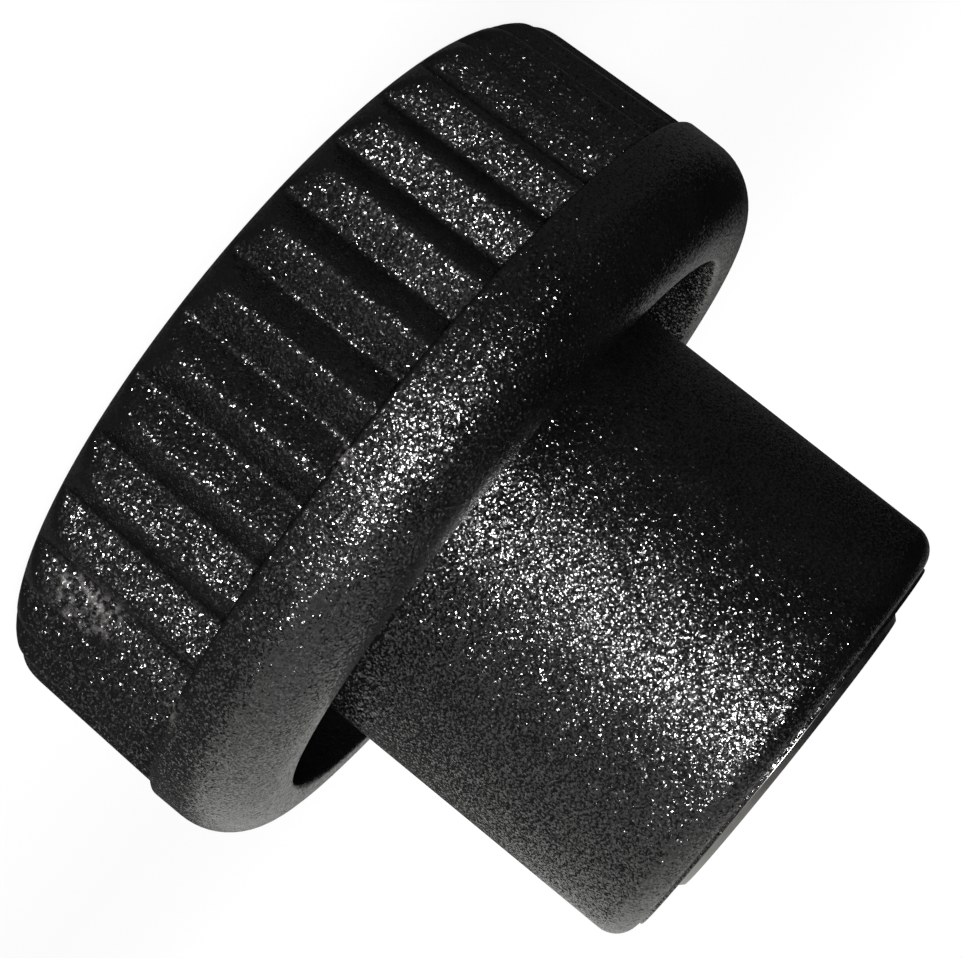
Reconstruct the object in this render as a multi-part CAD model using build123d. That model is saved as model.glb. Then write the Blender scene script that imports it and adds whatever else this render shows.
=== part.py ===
from build123d import *
import math
import os

# A knurled nut: a moulded plastic head and hub around a threaded steel bush.
#
# Millimetres, +Z up. The nut stands on its head: the flat crown face lies on z = 0 with its
# centre at the origin, and the threaded bush opens upwards at the end of the hub.

# ---- head: the part that the fingers turn ----
RIM_DIAMETER = 40.0          # the plain band above the knurl, the widest place
KNURL_DIAMETER = 39.7        # at the step, over the ridges' corners before they are rounded
KNURL_HEIGHT = 9.6           # crown face to the step under the plain rim
RIM_HEIGHT = 4.9             # step to the open face of the head
RIM_FILLET = 3.2             # the rim's bull nose, on the side of the open face
RIM_STEP_FILLET = 0.2        # the rim's other edge, at the step
CROWN_FILLET = 2.6           # rounded edge of the crown face

# ---- knurl ----
RIDGE_COUNT = 36
GROOVE_DEPTH = 1.25           # corner of a ridge to corner of a groove
RIDGE_ROUNDING = 0.4         # radius on each ridge and in each groove
RIDGE_TURN = -1.1            # degrees that the first ridge stands off the -Y line
KNURL_DRAFT = 1.6            # degrees that each flank leans in towards the crown

# ---- hub and the ring-shaped recess around it ----
HUB_DIAMETER = 23.6
HUB_REACH = 16.1             # how far the hub stands out of the head's open face
HUB_END_FILLET = 1.3
PAD_DIAMETER = 20.9          # the raised flat on the hub's end, which bears on the work
PAD_RISE = 0.15
RECESS_DIAMETER = 31.2       # across the mouth of the recess
RECESS_DEPTH = 10.0
RECESS_DRAFT = 1.5           # degrees that the outer wall leans, so that the core comes out
RECESS_FLOOR_FILLET = 0.8
MOUTH_FILLET = 0.25

# ---- threaded bush, moulded in ----
BUSH_DIAMETER = 16.2
BUSH_LENGTH = 20.0
BUSH_PROUD = 0.4             # how far its face stands out of the pad
BUSH_CHAMFER = 0.3           # its two outer edges
BUSH_FIT = 0.0               # radial gap to the plastic: none, the plastic is moulded onto it
ANCHOR_DIAMETER = 13.4       # floor of the groove that locks the bush in the plastic
ANCHOR_WIDTH = 3.0
ANCHOR_LIFT = 6.0            # foot of the bush to the near side of that groove
THREAD_DIAMETER = 10.0       # M10
THREAD_PITCH = 1.5
THREAD_LENGTH = 15.0         # face of the bush to the end of the bore's full wall
THREAD_LEAD_IN = 0.8         # width of the countersink at the mouth
DRILL_POINT_ANGLE = 118.0    # cone at the bottom of the blind bore

# ---- heights and radii that follow ----
OPEN_FACE = KNURL_HEIGHT + RIM_HEIGHT
HUB_END = OPEN_FACE + HUB_REACH
PAD_FACE = HUB_END + PAD_RISE
BUSH_FACE = PAD_FACE + BUSH_PROUD
BUSH_FOOT = BUSH_FACE - BUSH_LENGTH
RECESS_FLOOR = OPEN_FACE - RECESS_DEPTH
KNURL_RADIUS = KNURL_DIAMETER / 2
HUB_RADIUS = HUB_DIAMETER / 2
BUSH_RADIUS = BUSH_DIAMETER / 2
# A flank that leans in by the draft carries the ridge's corner in by a little more than that.
FLANK_SLOPE = math.atan(GROOVE_DEPTH / (KNURL_RADIUS * math.pi / RIDGE_COUNT))
RIDGE_LEAN = math.tan(math.radians(KNURL_DRAFT)) / math.cos(FLANK_SLOPE)
# The hole inside an internal metric thread is 1.0825 pitches narrower than its nominal size.
BORE_RADIUS = (THREAD_DIAMETER - 1.0825 * THREAD_PITCH) / 2


def turned(*pieces):
    """Revolve an outline, drawn as radius and height in the XZ plane, about the Z axis."""
    return revolve(make_face(list(pieces)), Axis.Z)


def polyline(*points):
    """Straight edges through (radius, height) points in the XZ plane."""
    return Polyline([(radius, 0, height) for radius, height in points])


def edge_round(centre, radius, start):
    """A quarter of a circle in the XZ plane, turning outwards and upwards from start degrees."""
    plane = Plane(origin=(centre[0], 0, centre[1]), z_dir=(0, -1, 0), x_dir=(1, 0, 0))
    return plane * CenterArc((0, 0), radius, start, 90)


def knurled_disc():
    """A disc with a V between each two ridges, all corners rounded, narrower at the crown."""
    corners = []
    for index in range(2 * RIDGE_COUNT):
        angle = math.radians(-90 + RIDGE_TURN + index * 180 / RIDGE_COUNT)
        radius = KNURL_RADIUS - (GROOVE_DEPTH if index % 2 else 0)
        corners.append((radius * math.cos(angle), radius * math.sin(angle)))
    face = make_face(Polyline(corners, close=True).edges())
    step_plane = Pos(0, 0, KNURL_HEIGHT) * fillet(face.vertices(), RIDGE_ROUNDING)
    return extrude(step_plane, amount=KNURL_HEIGHT, dir=(0, 0, -1), taper=KNURL_DRAFT)


def crown_blank():
    """What the knurl is cut from: a slightly conical disc with a rounded edge at the crown."""
    crown_radius = KNURL_RADIUS - KNURL_HEIGHT * RIDGE_LEAN
    disc = turned(polyline((0, 0), (crown_radius, 0), (KNURL_RADIUS, KNURL_HEIGHT),
                           (0, KNURL_HEIGHT), (0, 0)))
    crown_edge = disc.edges().filter_by(GeomType.CIRCLE).group_by(Axis.Z)[0]
    return fillet(crown_edge, CROWN_FILLET)


def rim():
    """The plain band over the knurl, with a bull nose towards the head's open face."""
    outer = RIM_DIAMETER / 2
    nose = outer - RIM_FILLET
    foot = outer - RIM_STEP_FILLET
    return turned(
        polyline((foot, KNURL_HEIGHT), (0, KNURL_HEIGHT), (0, OPEN_FACE), (nose, OPEN_FACE)),
        edge_round((nose, OPEN_FACE - RIM_FILLET), RIM_FILLET, 0),
        polyline((outer, OPEN_FACE - RIM_FILLET), (outer, KNURL_HEIGHT + RIM_STEP_FILLET)),
        edge_round((foot, KNURL_HEIGHT + RIM_STEP_FILLET), RIM_STEP_FILLET, -90),
    )


def recess():
    """The space around the hub, cut from the head: straight at the hub, leaning at the rim."""
    mouth = RECESS_DIAMETER / 2
    floor = mouth - RECESS_DEPTH * math.tan(math.radians(RECESS_DRAFT))
    space = turned(polyline((HUB_RADIUS, RECESS_FLOOR), (floor, RECESS_FLOOR), (mouth, OPEN_FACE),
                            (HUB_RADIUS, OPEN_FACE), (HUB_RADIUS, RECESS_FLOOR)))
    floor_edges = space.edges().filter_by(GeomType.CIRCLE).group_by(Axis.Z)[0]
    return fillet(floor_edges, RECESS_FLOOR_FILLET)


def hub():
    """The post that holds the bush, from inside the head to the pad on its end."""
    pad = PAD_DIAMETER / 2
    shoulder = HUB_RADIUS - HUB_END_FILLET
    return turned(
        polyline((HUB_RADIUS, HUB_END - HUB_END_FILLET), (HUB_RADIUS, RECESS_FLOOR),
                 (0, RECESS_FLOOR), (0, PAD_FACE), (pad, PAD_FACE), (pad, HUB_END),
                 (shoulder, HUB_END)),
        edge_round((shoulder, HUB_END - HUB_END_FILLET), HUB_END_FILLET, 0),
    )


def bush_outline():
    """Outside of the bush as (radius, height) points, foot first, with its locking groove."""
    return [
        (BUSH_RADIUS - BUSH_CHAMFER, BUSH_FOOT),
        (BUSH_RADIUS, BUSH_FOOT + BUSH_CHAMFER),
        (BUSH_RADIUS, BUSH_FOOT + ANCHOR_LIFT),
        (ANCHOR_DIAMETER / 2, BUSH_FOOT + ANCHOR_LIFT),
        (ANCHOR_DIAMETER / 2, BUSH_FOOT + ANCHOR_LIFT + ANCHOR_WIDTH),
        (BUSH_RADIUS, BUSH_FOOT + ANCHOR_LIFT + ANCHOR_WIDTH),
        (BUSH_RADIUS, BUSH_FACE - BUSH_CHAMFER),
        (BUSH_RADIUS - BUSH_CHAMFER, BUSH_FACE),
    ]


def bush_seat():
    """The space that the plastic leaves for the bush: the same outline, wider by the fit."""
    seat = [(radius + BUSH_FIT, height) for radius, height in bush_outline()]
    return turned(polyline((0, BUSH_FOOT), *seat, (0, BUSH_FACE), (0, BUSH_FOOT)))


def make_body():
    """The one-piece moulding: knurled head, plain rim, recess, hub and pad."""
    head = crown_blank() & knurled_disc()
    head += rim()
    head -= recess()
    mouth_edges = [
        edge for edge in head.edges().filter_by(GeomType.CIRCLE)
        if abs(edge.center().Z - OPEN_FACE) < 1e-6
        and abs(edge.radius - RECESS_DIAMETER / 2) < 1e-6
    ]
    head = fillet(mouth_edges, MOUTH_FILLET)
    return head + hub() - bush_seat()


def make_bush():
    """The steel bush: a blind bore of the thread's core size, countersunk at its mouth."""
    blank = turned(polyline((0, BUSH_FOOT), *bush_outline(), (0, BUSH_FACE), (0, BUSH_FOOT)))
    wall_end = BUSH_FACE - THREAD_LENGTH
    point_height = BORE_RADIUS / math.tan(math.radians(DRILL_POINT_ANGLE / 2))
    bore = turned(polyline(
        (0, wall_end - point_height), (BORE_RADIUS, wall_end),
        (BORE_RADIUS, BUSH_FACE - THREAD_LEAD_IN), (BORE_RADIUS + THREAD_LEAD_IN, BUSH_FACE),
        (0, BUSH_FACE), (0, wall_end - point_height)))
    return blank - bore


def save(shape, name):
    """Write one piece to its own file, named after it."""
    os.makedirs("parts", exist_ok=True)
    shape.label = name
    export_step(shape, f"parts/{name}.step")
    print(f"{name}: {shape.volume:.1f} mm3")


save(make_body(), "body")
save(make_bush(), "threaded_bush")
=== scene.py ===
# %% [markdown]
# # A knurled nut
#
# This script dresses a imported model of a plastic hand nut: a round head with a fluted side, a
# hub that stands out of it, and a threaded steel bush in the hub's end.
#
# Both pieces are rebuilt here as fine meshes, each from one grid of points. A formula gives
# every point of a grid, so a whole surface is a few lines of array arithmetic.
#
# The grid's finish then comes from node materials. The moulding's grain is bump: it is far too
# fine to model, and light only needs to see its slopes.

import math

import bpy
import numpy as np
from mathutils import Matrix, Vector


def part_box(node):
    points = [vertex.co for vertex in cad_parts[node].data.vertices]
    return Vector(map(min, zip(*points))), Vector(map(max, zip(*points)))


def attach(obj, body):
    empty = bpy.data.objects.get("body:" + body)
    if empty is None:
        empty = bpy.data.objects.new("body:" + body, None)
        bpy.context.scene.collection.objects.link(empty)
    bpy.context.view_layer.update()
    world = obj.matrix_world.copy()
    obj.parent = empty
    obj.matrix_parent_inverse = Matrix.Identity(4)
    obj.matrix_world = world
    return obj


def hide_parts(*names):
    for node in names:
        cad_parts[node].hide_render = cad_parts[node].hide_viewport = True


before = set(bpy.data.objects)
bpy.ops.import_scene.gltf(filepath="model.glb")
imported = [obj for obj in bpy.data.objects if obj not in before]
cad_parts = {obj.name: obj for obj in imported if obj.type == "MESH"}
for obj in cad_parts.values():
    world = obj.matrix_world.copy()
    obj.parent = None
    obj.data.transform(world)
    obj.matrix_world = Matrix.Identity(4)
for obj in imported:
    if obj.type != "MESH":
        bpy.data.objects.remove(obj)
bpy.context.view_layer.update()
MM = 0.001

# %% [markdown]
# ## Sizes
#
# The frame gives the overall sizes: the rim's radius and the heights of the two pieces. The
# rest are the sizes of one feature each, in millimetres, the same as in the solid model. They
# are written here once, and every outline below is worked out from them.

# %% Name the sizes
body_low, body_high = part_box("body")
bush_low, bush_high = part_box("threaded_bush")
RIM_RADIUS = body_high.x / MM
PAD_FACE = body_high.z / MM
BUSH_RADIUS = bush_high.x / MM
BUSH_FACE = bush_high.z / MM
BUSH_FOOT = bush_low.z / MM

KNURL_RADIUS = RIM_RADIUS - 0.15
KNURL_HEIGHT = 9.6
OPEN_FACE = KNURL_HEIGHT + 4.9
CROWN_FILLET = 2.6
RIM_FILLET = 3.2
STEP_FILLET = 0.2
RIDGES = 36
GROOVE_DEPTH = 1.25
RIDGE_ROUNDING = 0.4
RIDGE_TURN = -1.1
FLANK_SLOPE = math.atan(GROOVE_DEPTH / (KNURL_RADIUS * math.pi / RIDGES))
RIDGE_LEAN = math.tan(math.radians(1.6)) / math.cos(FLANK_SLOPE)

HUB_RADIUS = 11.8
PAD_RADIUS = 10.45
PAD_RISE = 0.15
HUB_FILLET = 1.3
RECESS_RADIUS = 15.6
RECESS_DEPTH = 10.0
RECESS_DRAFT = 1.5
RECESS_FILLET = 0.8
MOUTH_FILLET = 0.25

BUSH_CHAMFER = 0.3
ANCHOR_RADIUS = 6.7
ANCHOR_WIDTH = 3.0
ANCHOR_LIFT = 6.0
THREAD_PITCH = 1.5
THREAD_LENGTH = 15.0
THREAD_LEAD_IN = 0.8
THREAD_RADIUS = 5.0
BORE_RADIUS = THREAD_RADIUS - 1.0825 * THREAD_PITCH / 2
DRILL_HALF_ANGLE = math.radians(59)

HUB_END = PAD_FACE - PAD_RISE
print("head", round(OPEN_FACE, 2), "mm high, hub end at", round(HUB_END, 2), "mm")

# %% [markdown]
# ## Outlines
#
# A turned shape starts as an outline: radii and heights from one end of its path to the other.
# Straight stretches need few points and round ones need more. `arc` samples a round stretch by
# angle, and `straight` by length, so each stretch has only the points that its shape needs.
#
# Drawing the outline as a polygon by hand would be as quick, but then its rounds couldn't
# follow a changed size.

# %% Draw outlines from arcs and straight stretches
def arc(centre, radius, start, end, count):
    """Points on a circle about centre, from start to end degrees, both ends included."""
    turn = np.radians(np.linspace(start, end, count))
    return np.stack([centre[0] + radius * np.cos(turn), centre[1] + radius * np.sin(turn)], 1)


def straight(start, end, count):
    """Points evenly spaced on the line from start to end, without the end itself."""
    share = np.arange(count)[:, None] / count
    return np.array(start) * (1 - share) + np.array(end) * share


def knurl_depth(turn):
    """Depth under the ridge corners at each angle.

    One side of a V is a straight flank. Its depth is the distance from the ridge, measured
    round the nut, times the flank's slope. Near a ridge or a groove the flank gives way to the
    circle of the rounding, which touches it and lies a little inside the corner.
    """
    pitch = 2 * math.pi / RIDGES
    share = np.abs((turn / pitch + 0.5) % 1 - 0.5) * 2
    half_pitch = KNURL_RADIUS * pitch / 2
    slope = GROOVE_DEPTH / half_pitch
    lean = math.atan(slope)

    def corner(distance):
        """Depth of the rounded corner less that of a sharp one, at a distance from it."""
        reach = RIDGE_ROUNDING * math.sin(lean)
        inside = np.minimum(distance, reach)
        rounded = RIDGE_ROUNDING / math.cos(lean) - np.sqrt(RIDGE_ROUNDING ** 2 - inside ** 2)
        return np.where(distance < reach, rounded - slope * inside, 0)

    return (GROOVE_DEPTH * share + corner(share * half_pitch)
            - corner((1 - share) * half_pitch))


lowest = knurl_depth(np.array([0.0, math.pi / RIDGES]))
print("rounded ridge and groove lie", lowest.round(3), "mm under the sharp ridge")

# %% [markdown]
# ## Grids into meshes
#
# A grid has rows along the outline and columns round the axis. Four neighbours make a face,
# and the last column joins the first. The winding follows from the order of the rows: an
# outline that is walked with the material on its left has its normals outwards.
#
# `foreach_set` fills a mesh from flat arrays in one go. Adding vertices one at a time in a
# Python loop gives the same mesh, but takes minutes at this size.

# %% Build a mesh from a grid of points
def grid_mesh(name, radius, height, turn, attributes=None):
    """A closed skin about the Z axis from arrays of radius and height, rows by columns.

    A point's place is (radius cos turn, radius sin turn, height). The first and last rows are
    closed by fans of triangles to one point each on the axis.
    """
    rows, columns = radius.shape
    ring = np.stack([radius * np.cos(turn), radius * np.sin(turn), height], -1)
    ends = np.array([[0, 0, height[0].mean()], [0, 0, height[-1].mean()]])
    points = np.concatenate([ring.reshape(-1, 3), ends]) * MM
    number = np.arange(rows * columns).reshape(rows, columns)
    beside = np.roll(number, -1, axis=1)
    quads = np.stack([number[:-1], beside[:-1], beside[1:], number[1:]], -1).reshape(-1, 4)
    first = np.full(columns, rows * columns)
    fans = np.concatenate([
        np.stack([first, beside[0], number[0]], -1),
        np.stack([first + 1, number[-1], beside[-1]], -1),
    ])
    loops = np.concatenate([quads.ravel(), fans.ravel()]).astype(np.int32)
    sizes = np.concatenate([np.full(len(quads), 4), np.full(len(fans), 3)]).astype(np.int32)
    mesh = bpy.data.meshes.new(name)
    mesh.vertices.add(len(points))
    mesh.vertices.foreach_set("co", points.astype(np.float32).ravel())
    mesh.loops.add(len(loops))
    mesh.loops.foreach_set("vertex_index", loops)
    mesh.polygons.add(len(sizes))
    mesh.polygons.foreach_set("loop_start", (np.cumsum(sizes) - sizes).astype(np.int32))
    mesh.polygons.foreach_set("loop_total", sizes)
    mesh.update(calc_edges=True)
    mesh.validate()
    mesh.shade_smooth()
    mesh.set_sharp_from_angle(angle=math.radians(38))
    for label, values in (attributes or {}).items():
        layer = mesh.attributes.new(label, "FLOAT", "POINT")
        layer.data.foreach_set("value", np.append(values.ravel(), [0, 0]).astype(np.float32))
    piece = bpy.data.objects.new(name, mesh)
    bpy.context.scene.collection.objects.link(piece)
    mesh.calc_loop_triangles()
    print(name, rows, "rows by", columns, "columns,", len(mesh.loop_triangles), "triangles")
    return piece

# %% [markdown]
# ## The moulding's outline
#
# The walk starts at the middle of the crown face, which lies on the floor. It goes out over
# the crown's rounded edge, up the knurl, over the rim's bull nose, down into the recess, up
# the hub and over its end, and down the seat of the bush. Rows are close together on the
# knurl, because the chips and dents need points there.

# %% Walk round the moulding
def crown_rows():
    """Middle of the crown face to the foot of the knurl's straight part."""
    lean = math.degrees(math.atan(RIDGE_LEAN))
    side = KNURL_RADIUS - (KNURL_HEIGHT - CROWN_FILLET) * RIDGE_LEAN
    centre = (side - CROWN_FILLET / math.cos(math.radians(lean)), CROWN_FILLET)
    return np.concatenate([
        [[1.0, 0.0], [7.0, 0.0], [13.0, 0.0]],
        arc(centre, CROWN_FILLET, -90, -lean, 25),
    ])


def knurl_rows():
    """The knurl's leaning side, up to the step, which is the last row."""
    start = crown_rows()[-1]
    end = (KNURL_RADIUS, KNURL_HEIGHT)
    return np.concatenate([straight(start, end, 34)[1:], [end]])


def rim_rows():
    """The step, the plain band and the bull nose, as far as the recess's mouth."""
    nose = RIM_RADIUS - RIM_FILLET
    foot = RIM_RADIUS - STEP_FILLET
    mouth = RECESS_RADIUS + MOUTH_FILLET
    return np.concatenate([
        arc((foot, KNURL_HEIGHT + STEP_FILLET), STEP_FILLET, -90, 0, 5),
        straight((RIM_RADIUS, KNURL_HEIGHT + STEP_FILLET),
                 (RIM_RADIUS, OPEN_FACE - RIM_FILLET), 4)[1:],
        arc((nose, OPEN_FACE - RIM_FILLET), RIM_FILLET, 0, 90, 16),
        arc((mouth, OPEN_FACE - MOUTH_FILLET), MOUTH_FILLET, 90, 180, 4),
    ])


def recess_rows():
    """The recess's leaning wall, its floor between two small rounds, and the hub's root."""
    floor = OPEN_FACE - RECESS_DEPTH
    foot = RECESS_RADIUS - RECESS_DEPTH * math.tan(math.radians(RECESS_DRAFT))
    return np.concatenate([
        straight((RECESS_RADIUS, OPEN_FACE - 1), (foot, floor + RECESS_FILLET), 2),
        arc((foot - RECESS_FILLET, floor + RECESS_FILLET), RECESS_FILLET, 0, -90, 5),
        arc((HUB_RADIUS + RECESS_FILLET, floor + RECESS_FILLET), RECESS_FILLET, -90, -180, 5),
    ])


def hub_rows():
    """Up the hub, over its rounded end, and over the edge of the raised pad."""
    shoulder = HUB_RADIUS - HUB_FILLET
    return np.concatenate([
        straight((HUB_RADIUS, OPEN_FACE - 4), (HUB_RADIUS, HUB_END - HUB_FILLET), 8),
        arc((shoulder, HUB_END - HUB_FILLET), HUB_FILLET, 0, 90, 11),
        [[PAD_RADIUS, HUB_END], [PAD_RADIUS, PAD_FACE - 0.04], [PAD_RADIUS - 0.04, PAD_FACE],
         [BUSH_RADIUS, PAD_FACE]],
    ])


def seat_rows():
    """Down the seat that the plastic leaves for the bush, with the ring in its groove."""
    anchor = BUSH_FOOT + ANCHOR_LIFT
    return np.array([
        [BUSH_RADIUS, anchor + ANCHOR_WIDTH], [ANCHOR_RADIUS, anchor + ANCHOR_WIDTH],
        [ANCHOR_RADIUS, anchor], [BUSH_RADIUS, anchor],
        [BUSH_RADIUS, BUSH_FOOT + BUSH_CHAMFER], [BUSH_RADIUS - BUSH_CHAMFER, BUSH_FOOT],
    ])


knurled_part = np.concatenate([crown_rows(), knurl_rows()])
plain_part = np.concatenate([rim_rows(), recess_rows(), hub_rows(), seat_rows()])
outline = np.concatenate([knurled_part, plain_part])
print("outline of", len(outline), "points,", len(knurled_part), "of them on the knurled part")

# %% [markdown]
# ## Wear on the head
#
# Three places on the head are damaged: a burr on the edge of the step, a ridge that is torn
# and scuffed pale near the crown, and a ragged stretch of the step beside it. Each is an
# elliptical patch on the unrolled side. Inside it the radius is cut back or raised by uneven
# steps, and the same patch is stored as an attribute, which the material reads.
#
# Modelling the damage, and not only painting it, matters on an outline: a nick in the edge
# shows where a painted one can't.

# %% Shape the damage
def uneven(turn, height, size, seed):
    """Smooth uneven values from -1 to 1, from sines of many directions and random phases."""
    chance = np.random.default_rng(seed)
    total = np.zeros(np.broadcast(turn, height).shape)
    for direction in chance.uniform(0, math.pi, 9):
        across = turn * KNURL_RADIUS * math.cos(direction) + height * math.sin(direction)
        total += np.sin(across * 2 * math.pi / size * chance.uniform(0.6, 1.6)
                        + chance.uniform(0, 6.28))
    return np.clip(total / 4, -1, 1)


def patch(turn, height, degrees, middle, half_width, half_height):
    """1 in the middle of an elliptical patch on the head's side, falling to 0 at its edge."""
    round_way = (turn + math.pi / 2 - math.radians(degrees) + math.pi) % (2 * math.pi) - math.pi
    distance = np.hypot(round_way * KNURL_RADIUS / half_width, (height - middle) / half_height)
    return np.clip(1.5 * (1 - distance), 0, 1)


def damaged(radius, height, turn):
    """The head's radius with its damage, and how scuffed each point is."""
    torn = patch(turn, height, 45.5, 3.9, 1.7, 2.4)
    ragged = patch(turn, height, 48.5, KNURL_HEIGHT, 1.6, 0.5)
    burr = patch(turn, height, 4.9, KNURL_HEIGHT + 0.1, 0.55, 0.5)
    rough = uneven(turn, height, 0.9, 3)
    flattened = KNURL_RADIUS - 0.6 + 0.22 * rough
    cut = np.where(torn > 0, np.maximum(radius - flattened, 0) * torn, 0)
    radius = radius - cut
    radius = radius - 0.16 * ragged * np.clip(uneven(turn, height, 0.8, 8) + 0.3, 0, 1)
    radius = radius + 0.16 * burr * np.clip(uneven(turn, height, 0.7, 5) + 0.2, -0.6, 1)
    scuff = np.maximum(torn * np.clip(0.55 + 0.7 * rough, 0, 1), 0.5 * ragged)
    scuff = np.maximum(scuff, burr)
    return np.minimum(radius, RIM_RADIUS), scuff


# %% [markdown]
# ## The moulding
#
# The knurl is a plain disc with a rounded edge, cut back to the V shape wherever that lies
# further in. So the radius on the knurled rows is the lesser of the two. Where a V runs out
# through the rounded crown edge, the lesser radius changes hands along an arch, as on the
# real moulding. A soft minimum rounds that arch a little.
#
# Columns crowd together at ridges and grooves, and spread out on the flat flanks.

# %% Make the moulding
# Rows inside the crown's edge stay whole, and so does the rim beyond its first few rows.
CENTRE_ROWS = 3
WORN_RIM_ROWS = 8
ARCH_BLEND = 0.3


def knurl_columns():
    """Angles of the columns: the same close and wide spacing for each ridge."""
    half = np.array([0, 0.045, 0.09, 0.13, 0.35, 0.65, 0.87, 0.91, 0.955]) / 2
    pitch = np.concatenate([half, half + 0.5])
    turns = (np.arange(RIDGES)[:, None] + pitch[None, :]).ravel() / RIDGES
    return turns * 2 * math.pi


def soft_minimum(a, b, blend):
    """The lesser of two lengths, with the corner between them rounded over blend."""
    near = np.clip(1 - np.abs(a - b) / blend, 0, 1)
    return np.minimum(a, b) - near ** 2 * blend / 4


def make_moulding():
    """The body: its outline spun round, cut by the knurl, with the damage."""
    column = knurl_columns()
    start = math.radians(-90 + RIDGE_TURN)
    turn = np.broadcast_to(column + start, (len(outline), len(column)))
    radius = np.repeat(outline[:, :1], len(column), axis=1)
    height = np.repeat(outline[:, 1:], len(column), axis=1)
    count = len(knurled_part)
    side = KNURL_RADIUS - (KNURL_HEIGHT - height[:count]) * RIDGE_LEAN
    cut = side - knurl_depth(column)[None, :]
    radius[:count] = soft_minimum(radius[:count], cut, ARCH_BLEND)
    head = slice(CENTRE_ROWS, count + WORN_RIM_ROWS)
    scuff = np.zeros_like(radius)
    radius[head], scuff[head] = damaged(radius[head], height[head], turn[head])
    return grid_mesh("knurled_body", radius, height, turn, {"scuff": scuff})


moulding = make_moulding()

# %% [markdown]
# ## The bush and its thread
#
# The bush is one grid too: foot, outside, chamfered face, countersink, threaded bore and the
# cone that the drill left. On the threaded rows the radius follows a wave that climbs one
# pitch for each turn, so the grid's straight columns and level rows still give a true helix.
#
# Sweeping a thread's section along a helix is the usual other way. It needs its own ends and
# a join to the bore, which a single skin doesn't.

# %% Make the bush
BUSH_COLUMNS = 120
PITCH_ROWS = 14


def bush_outline():
    """Middle of the foot, up the outside with its locking groove, and in over the face."""
    anchor = BUSH_FOOT + ANCHOR_LIFT
    chamfered = BUSH_RADIUS - BUSH_CHAMFER
    return np.array([
        [1.0, BUSH_FOOT], [chamfered, BUSH_FOOT], [BUSH_RADIUS, BUSH_FOOT + BUSH_CHAMFER],
        [BUSH_RADIUS, anchor], [ANCHOR_RADIUS, anchor], [ANCHOR_RADIUS, anchor + ANCHOR_WIDTH],
        [BUSH_RADIUS, anchor + ANCHOR_WIDTH], [BUSH_RADIUS, PAD_FACE],
        [BUSH_RADIUS, BUSH_FACE - BUSH_CHAMFER], [chamfered, BUSH_FACE], [6.5, BUSH_FACE],
    ])


def thread_radius(height, turn):
    """Wall of the bore: a trapezium wave on a right-hand helix, cut off by the countersink."""
    climbed = (BUSH_FACE - height) / THREAD_PITCH + turn / (2 * math.pi)
    wave = np.abs(climbed % 1 - 0.5) * 2
    shape = np.clip((wave - 0.25) / 0.62, 0, 1)
    runout = np.clip((height - (BUSH_FACE - THREAD_LENGTH)) / (2 * THREAD_PITCH), 0, 1)
    wall = BORE_RADIUS + (THREAD_RADIUS - BORE_RADIUS) * shape * runout
    cone = BORE_RADIUS + THREAD_LEAD_IN - (BUSH_FACE - height)
    return np.maximum(wall, cone)


def make_bush():
    """The steel bush as one skin, with rows close enough to show the thread's flanks."""
    column = np.arange(BUSH_COLUMNS) * 2 * math.pi / BUSH_COLUMNS
    outside = bush_outline()
    bore_end = BUSH_FACE - THREAD_LENGTH
    rows = int(PITCH_ROWS * THREAD_LENGTH / THREAD_PITCH)
    levels = np.linspace(BUSH_FACE, bore_end, rows)
    point = bore_end - (BORE_RADIUS - 0.3) / math.tan(DRILL_HALF_ANGLE)
    tip = np.array([[BORE_RADIUS, bore_end - 0.01], [0.3, point]])
    smooth = np.concatenate([outside, np.zeros((rows, 2)), tip])
    turn = np.broadcast_to(column, (len(smooth), len(column)))
    radius = np.repeat(smooth[:, :1], len(column), axis=1)
    height = np.repeat(smooth[:, 1:], len(column), axis=1)
    bore = slice(len(outside), len(outside) + rows)
    height[bore] = levels[:, None]
    radius[bore] = thread_radius(height[bore], turn[bore])
    return grid_mesh("steel_bush", radius, height, turn)


bush = make_bush()

# %% [markdown]
# ## Shader arithmetic in Python
#
# A material is a graph of nodes. Wiring each Math node by hand hides the formula, so `Value`
# wraps a socket and gives it Python's operators: `a * 0.5 + b` adds the nodes that work it
# out. `Finish` starts a material and adds any other node from one method, which takes the
# node's type, then its settings, then its inputs.

# %% Wrap sockets so that formulas read as formulas
class Value:
    """A number socket that adds a Math node for each operation on it."""

    def __init__(self, finish, socket):
        self.finish = finish
        self.socket = socket

    def math(self, operation, *others, clamp=False):
        """The result of a Math node, given its operation and its other inputs."""
        return self.finish.math(operation, self, *others, clamp=clamp)

    def __add__(self, other):
        return self.math("ADD", other)

    def __radd__(self, other):
        return self.finish.math("ADD", other, self)

    def __sub__(self, other):
        return self.math("SUBTRACT", other)

    def __rsub__(self, other):
        return self.finish.math("SUBTRACT", other, self)

    def __mul__(self, other):
        return self.math("MULTIPLY", other)

    def __rmul__(self, other):
        return self.finish.math("MULTIPLY", other, self)

    def __truediv__(self, other):
        return self.math("DIVIDE", other)

    def __rtruediv__(self, other):
        return self.finish.math("DIVIDE", other, self)

    def __pow__(self, other):
        return self.math("POWER", other)

    def between(self, low, high):
        """0 at low and under, 1 at high and over, and even in between."""
        return ((self - low) * (1 / (high - low))).math("ADD", 0.0, clamp=True)


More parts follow.
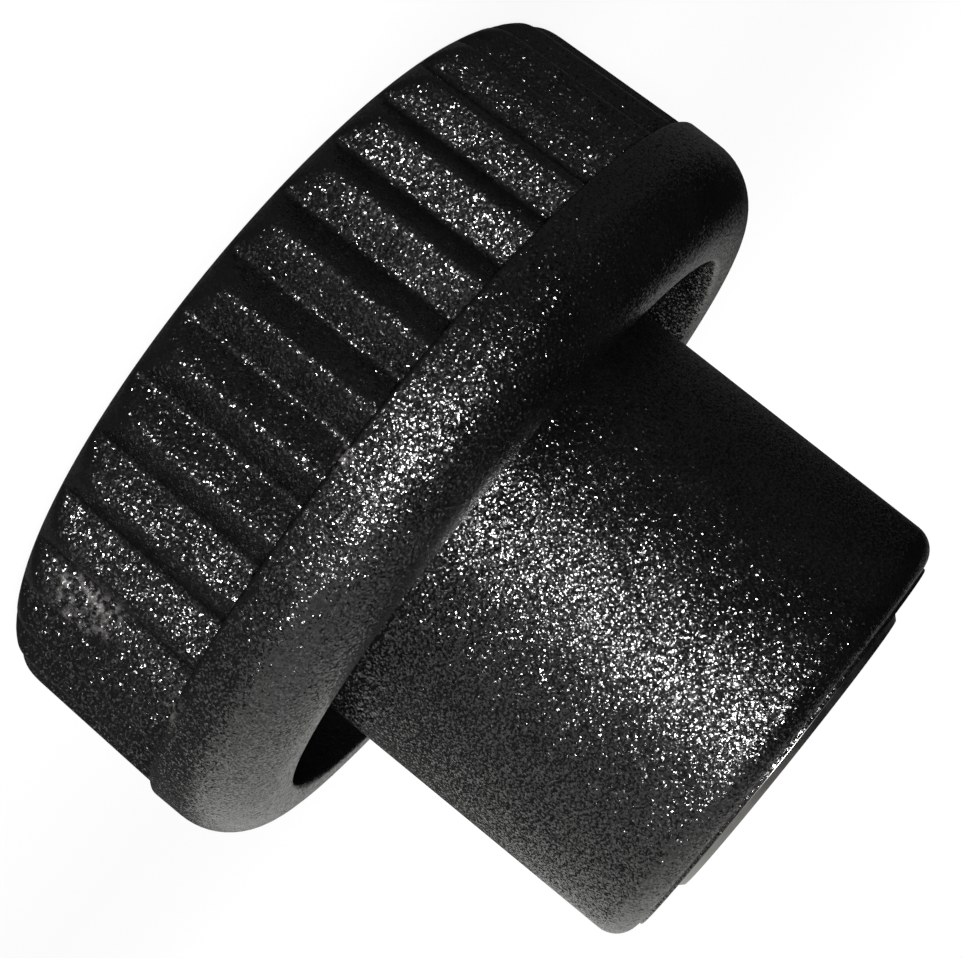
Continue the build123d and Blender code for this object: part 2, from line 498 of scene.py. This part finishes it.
class Finish:
    """A material or world under construction, with short ways to add and wire nodes."""

    def __init__(self, owner):
        owner.use_nodes = True
        self.tree = owner.node_tree
        self.tree.nodes.clear()

    def put(self, socket, value):
        """Wire a socket or a Value into an input, or set the input to a constant."""
        if isinstance(value, Value):
            value = value.socket
        if isinstance(value, bpy.types.NodeSocket):
            self.tree.links.new(value, socket)
        else:
            socket.default_value = value

    def node(self, kind, settings=None, inputs=None):
        """Add a node: its type's short name, its settings, and its inputs by name or place."""
        made = self.tree.nodes.new("ShaderNode" + kind)
        for name, value in (settings or {}).items():
            setattr(made, name, value)
        for name, value in (inputs or {}).items():
            self.put(made.inputs[name], value)
        return made

    def value(self, node, output=0):
        """A node's output as a Value."""
        return Value(self, node.outputs[output])

    def math(self, operation, *values, clamp=False):
        """A Math node's result."""
        settings = {"operation": operation, "use_clamp": clamp}
        return self.value(self.node("Math", settings, dict(enumerate(values))))

    def noise(self, place, cell, detail=0.0, rough=0.5):
        """Noise whose lattice cells are cell millimetres wide, from 0 to 1."""
        inputs = {"Vector": place, "Scale": 1 / (cell * MM), "Detail": detail, "Roughness": rough}
        return self.value(self.node("TexNoise", {}, inputs), "Fac")

    def mix_colour(self, share, low, high):
        """A colour between two, by share."""
        mixer = self.node("Mix", {"data_type": "RGBA"}, {"Factor": share, 6: low, 7: high})
        return mixer.outputs[2]

# %% [markdown]
# ## Moulding grain
#
# The mould of such a nut is spark-eroded, which leaves a skin of tiny craters, and the plastic
# copies them. Each crater's facets mirror the light from a slightly different direction. In a
# highlight they flash as white sparks, and outside it the plastic is nearly black.
#
# Two cell patterns make the facets. Every small cell has a random lean, and the larger cell
# round it sets how strong that lean is, so most facets lie nearly flat and a few stand steep.
# The lean is added to the surface's normal. Smooth noise in a bump node is the usual way to
# make grain, but its slopes run into each other, and the highlight turns into leathery waves.
#
# Two noises add a soft height to the facets. A slow swell varies the tone and the roughness,
# because flow lines and touch leave some places glossier. Where the mesh says that it is
# scuffed, the colour pales in patches and the surface turns coarse.

# %% Make the plastic's finish
# The slope by which a facet leans is at most half of this.
FACET_TILT = 1.05
SMALL_CELL = 0.08
LARGE_CELL = 0.14


def plastic_finish():
    """Black glass-filled plastic with spark-eroded grain, pale where it is scuffed."""
    material = bpy.data.materials.new("black_plastic_grain")
    finish = Finish(material)
    place = finish.node("TexCoord").outputs["Object"]
    scuff = finish.value(finish.node("Attribute", {"attribute_name": "scuff"}), "Fac")
    pits = finish.noise(place, 0.16)
    fine = finish.noise(place, 0.07)
    small = finish.node("TexVoronoi", {}, {"Vector": place, "Scale": 1 / (SMALL_CELL * MM)})
    large = finish.node("TexVoronoi", {}, {"Vector": place, "Scale": 1 / (LARGE_CELL * MM)})
    centred = finish.node("VectorMath", {"operation": "SUBTRACT"},
                          {0: small.outputs["Color"], 1: [0.5] * 3})
    lean = finish.node("VectorMath", {"operation": "MULTIPLY"},
                       {0: centred.outputs[0], 1: large.outputs["Color"]})
    smooth = finish.node("NewGeometry").outputs["Normal"]
    leaning = finish.node("VectorMath", {"operation": "MULTIPLY_ADD"},
                          {0: lean.outputs[0], 1: [FACET_TILT] * 3, 2: smooth})
    tilted = finish.node("VectorMath", {"operation": "NORMALIZE"}, {0: leaning.outputs[0]})
    swell = finish.noise(place, 2.4, 2.0)
    torn = finish.noise(place, 0.35, 4.0, 0.65)
    worn = scuff * torn.between(0.47, 0.60)
    height = pits + fine * 0.12 + torn * scuff * 1.6
    bump = finish.node("Bump", {}, {"Strength": 1.0, "Distance": 0.03 * MM,
                                    "Height": height, "Normal": tilted.outputs[0]})
    tone = swell.between(0.3, 0.7) * 0.6 + fine.between(0.2, 0.8) * 0.4
    black = finish.mix_colour(tone, (0.0012, 0.0012, 0.0013, 1), (0.0026, 0.0025, 0.0025, 1))
    colour = finish.mix_colour(worn, black, (0.11, 0.107, 0.103, 1))
    rough = 0.21 - pits.between(0.35, 0.75) * 0.06 + swell.between(0.3, 0.7) * 0.06
    shader = finish.node("BsdfPrincipled", {}, {
        "Base Color": colour, "Roughness": rough + worn * 0.2, "Normal": bump.outputs[0],
        "IOR": 1.5,
    })
    output = finish.node("OutputMaterial")
    finish.put(output.inputs["Surface"], shader.outputs[0])
    return material


# %% [markdown]
# ## Turned steel
#
# A lathe leaves fine rings on the bush's face. Their height is a sine of the distance from
# the axis, uneven in depth from place to place. A thin dull film, as zinc plating has, comes
# from a slow noise in the roughness and the colour.

# %% Make the steel's finish
def steel_finish():
    """Dark bare steel with fine turned rings."""
    material = bpy.data.materials.new("turned_steel")
    finish = Finish(material)
    place = finish.node("TexCoord").outputs["Object"]
    apart = finish.node("SeparateXYZ", {}, {0: place})
    x, y = finish.value(apart, "X"), finish.value(apart, "Y")
    distance = (x * x + y * y).math("SQRT")
    film = finish.noise(place, 0.9, 3.0, 0.6)
    speck = finish.noise(place, 0.12, 1.0)
    rings = (distance * (2 * math.pi / (0.16 * MM)) + film * 3).math("SINE")
    bump = finish.node("Bump", {}, {"Strength": 0.7, "Distance": 0.006 * MM,
                                    "Height": rings * 0.5 + speck * 0.8})
    colour = finish.mix_colour(film, (0.15, 0.147, 0.142, 1), (0.28, 0.276, 0.268, 1))
    shader = finish.node("BsdfPrincipled", {}, {
        "Base Color": colour, "Metallic": 1.0, "Roughness": film * 0.25 + speck * 0.12 + 0.16,
        "Normal": bump.outputs[0],
    })
    output = finish.node("OutputMaterial")
    finish.put(output.inputs["Surface"], shader.outputs[0])
    return material


moulding.data.materials.append(plastic_finish())
bush.data.materials.append(steel_finish())
for piece, node, slot in ((moulding, "body", "moulding"), (bush, "threaded_bush", "bush_metal")):
    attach(piece, "root")
    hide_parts(node)
print("finishes on", moulding.name, "and", bush.name)

# %% [markdown]
# ## Floor and background
#
# The floor is a wide pale sheet. To the camera it is mostly its own even white near the nut,
# with the shadow laid over it, and wholly so further out, which hides the horizon. Other rays
# meet it as dark card, because a black nut on a bright sheet shows the sheet in every low
# surface.
#
# The world is white to the camera. To every other ray it is a dark room with one bright side,
# level with the nut. The plastic mirrors that side as a soft grey on the surfaces that turn
# towards it, and the rest stay black. A room that is bright all round would be simpler, but a
# black surface mirrors it too, and every edge would fade.

# %% Lay the floor and set the world
BRIGHT_SIDE = (0.93, 0.22, 0.0)


def floor_finish():
    """Pale paper that the camera sees as nearly even white."""
    material = bpy.data.materials.new("pale_paper")
    finish = Finish(material)
    camera_ray = finish.value(finish.node("LightPath"), "Is Camera Ray")
    colour = finish.mix_colour(camera_ray, (0.07, 0.07, 0.07, 1), (0.85, 0.85, 0.85, 1))
    paper = finish.node("BsdfPrincipled", {}, {"Base Color": colour, "Roughness": 0.9})
    glow = finish.node("Emission", {}, {"Color": (1, 1, 1, 1), "Strength": 1.1})
    place = finish.node("TexCoord").outputs["Object"]
    away = finish.value(finish.node("VectorMath", {"operation": "LENGTH"}, {0: place}), "Value")
    share = camera_ray * (0.75 + 0.25 * away.between(0.08, 0.30))
    both = finish.node("MixShader", {}, {0: share, 1: paper.outputs[0], 2: glow.outputs[0]})
    output = finish.node("OutputMaterial")
    finish.put(output.inputs["Surface"], both.outputs[0])
    return material


def make_floor():
    """A square sheet under the nut, 4 m wide."""
    half = 2.0
    mesh = bpy.data.meshes.new("floor")
    corners = [(-half, -half, 0), (half, -half, 0), (half, half, 0), (-half, half, 0)]
    mesh.from_pydata(corners, [], [(0, 1, 2, 3)])
    sheet = bpy.data.objects.new("floor", mesh)
    mesh.materials.append(floor_finish())
    bpy.context.scene.collection.objects.link(sheet)
    return sheet


def set_world():
    """White to the camera, and to other rays a dark room with one bright side."""
    world = bpy.data.worlds.new("studio")
    bpy.context.scene.world = world
    finish = Finish(world)
    camera_ray = finish.value(finish.node("LightPath"), "Is Camera Ray")
    direction = finish.node("TexCoord").outputs["Generated"]
    toward = finish.value(finish.node("VectorMath", {"operation": "DOT_PRODUCT"},
                                      {0: direction, 1: BRIGHT_SIDE}), "Value")
    room = finish.mix_colour(toward.between(-0.05, 0.75), (0.006, 0.006, 0.0065, 1),
                             (1.1, 1.1, 1.07, 1))
    colour = finish.mix_colour(camera_ray, room, (1, 1, 1, 1))
    ground = finish.node("Background", {}, {"Color": colour, "Strength": 1.0})
    output = finish.node("OutputWorld")
    finish.put(output.inputs["Surface"], ground.outputs[0])


floor = make_floor()
set_world()

# %% [markdown]
# ## Light
#
# One small bright lamp stands on the camera's side, a little higher and to one side. Its
# mirror image breaks up in the grain into a band of sparks that runs down the hub and round
# the rim. On the knurl it picks out the flanks that lean towards it. A large lamp would give
# every facet of the grain something to mirror, and the sparks would melt into a grey sheen.

# %% Hang the lamp
def lamp(name, azimuth, elevation, distance, width, watts, aim):
    """A square lamp that faces aim, from a direction in degrees: azimuth 0 is the -Y side."""
    a, e = math.radians(azimuth), math.radians(elevation)
    light = bpy.data.lights.new(name, "AREA")
    light.size = width
    light.energy = watts
    holder = bpy.data.objects.new(name, light)
    bpy.context.scene.collection.objects.link(holder)
    back = np.array([math.sin(a) * math.cos(e), -math.cos(a) * math.cos(e), math.sin(e)])
    holder.location = np.array(aim) + back * distance
    direction = -(holder.location - type(holder.location)(aim))
    holder.rotation_euler = direction.to_track_quat("-Z", "Y").to_euler()
    return holder


middle = [0, 0, BUSH_FACE * MM / 2]
lamp("key", 4, 12, 0.35, 0.04, 2.8, middle)

# %% [markdown]
# ## Camera
#
# The camera looks at the nut's side from just above the head, and is turned about its own
# line of sight, so that the hub points down to the right. Its place is given in the nut's own
# frame, and the roll turns the picture, not the nut.

# %% Place the camera
VIEW_ELEVATION = 7.35
VIEW_ROLL = 128.7
CAMERA_PLACE = (-0.92, -118.63, 27.28)
CAMERA_LENS = 94.96


def make_camera():
    """A camera from its place, its downward tilt and its roll."""
    e, roll = math.radians(VIEW_ELEVATION), math.radians(VIEW_ROLL)
    back = np.array([0, -math.cos(e), math.sin(e)])
    level = np.array([1, 0, 0])
    upward = np.array([0, math.sin(e), math.cos(e)])
    right = math.cos(roll) * level + math.sin(roll) * upward
    up = -math.sin(roll) * level + math.cos(roll) * upward
    turn = Matrix(np.stack([right, up, back], 1).tolist())
    data = bpy.data.cameras.new("camera")
    data.lens = CAMERA_LENS
    data.sensor_width = 36
    data.clip_start = 0.005
    data.clip_end = 20
    camera = bpy.data.objects.new("camera", data)
    camera.matrix_world = Matrix.Translation(np.array(CAMERA_PLACE) * MM) @ turn.to_4x4()
    bpy.context.scene.collection.objects.link(camera)
    bpy.context.scene.camera = camera
    return camera


make_camera()
bpy.context.scene.view_settings.view_transform = "Standard"
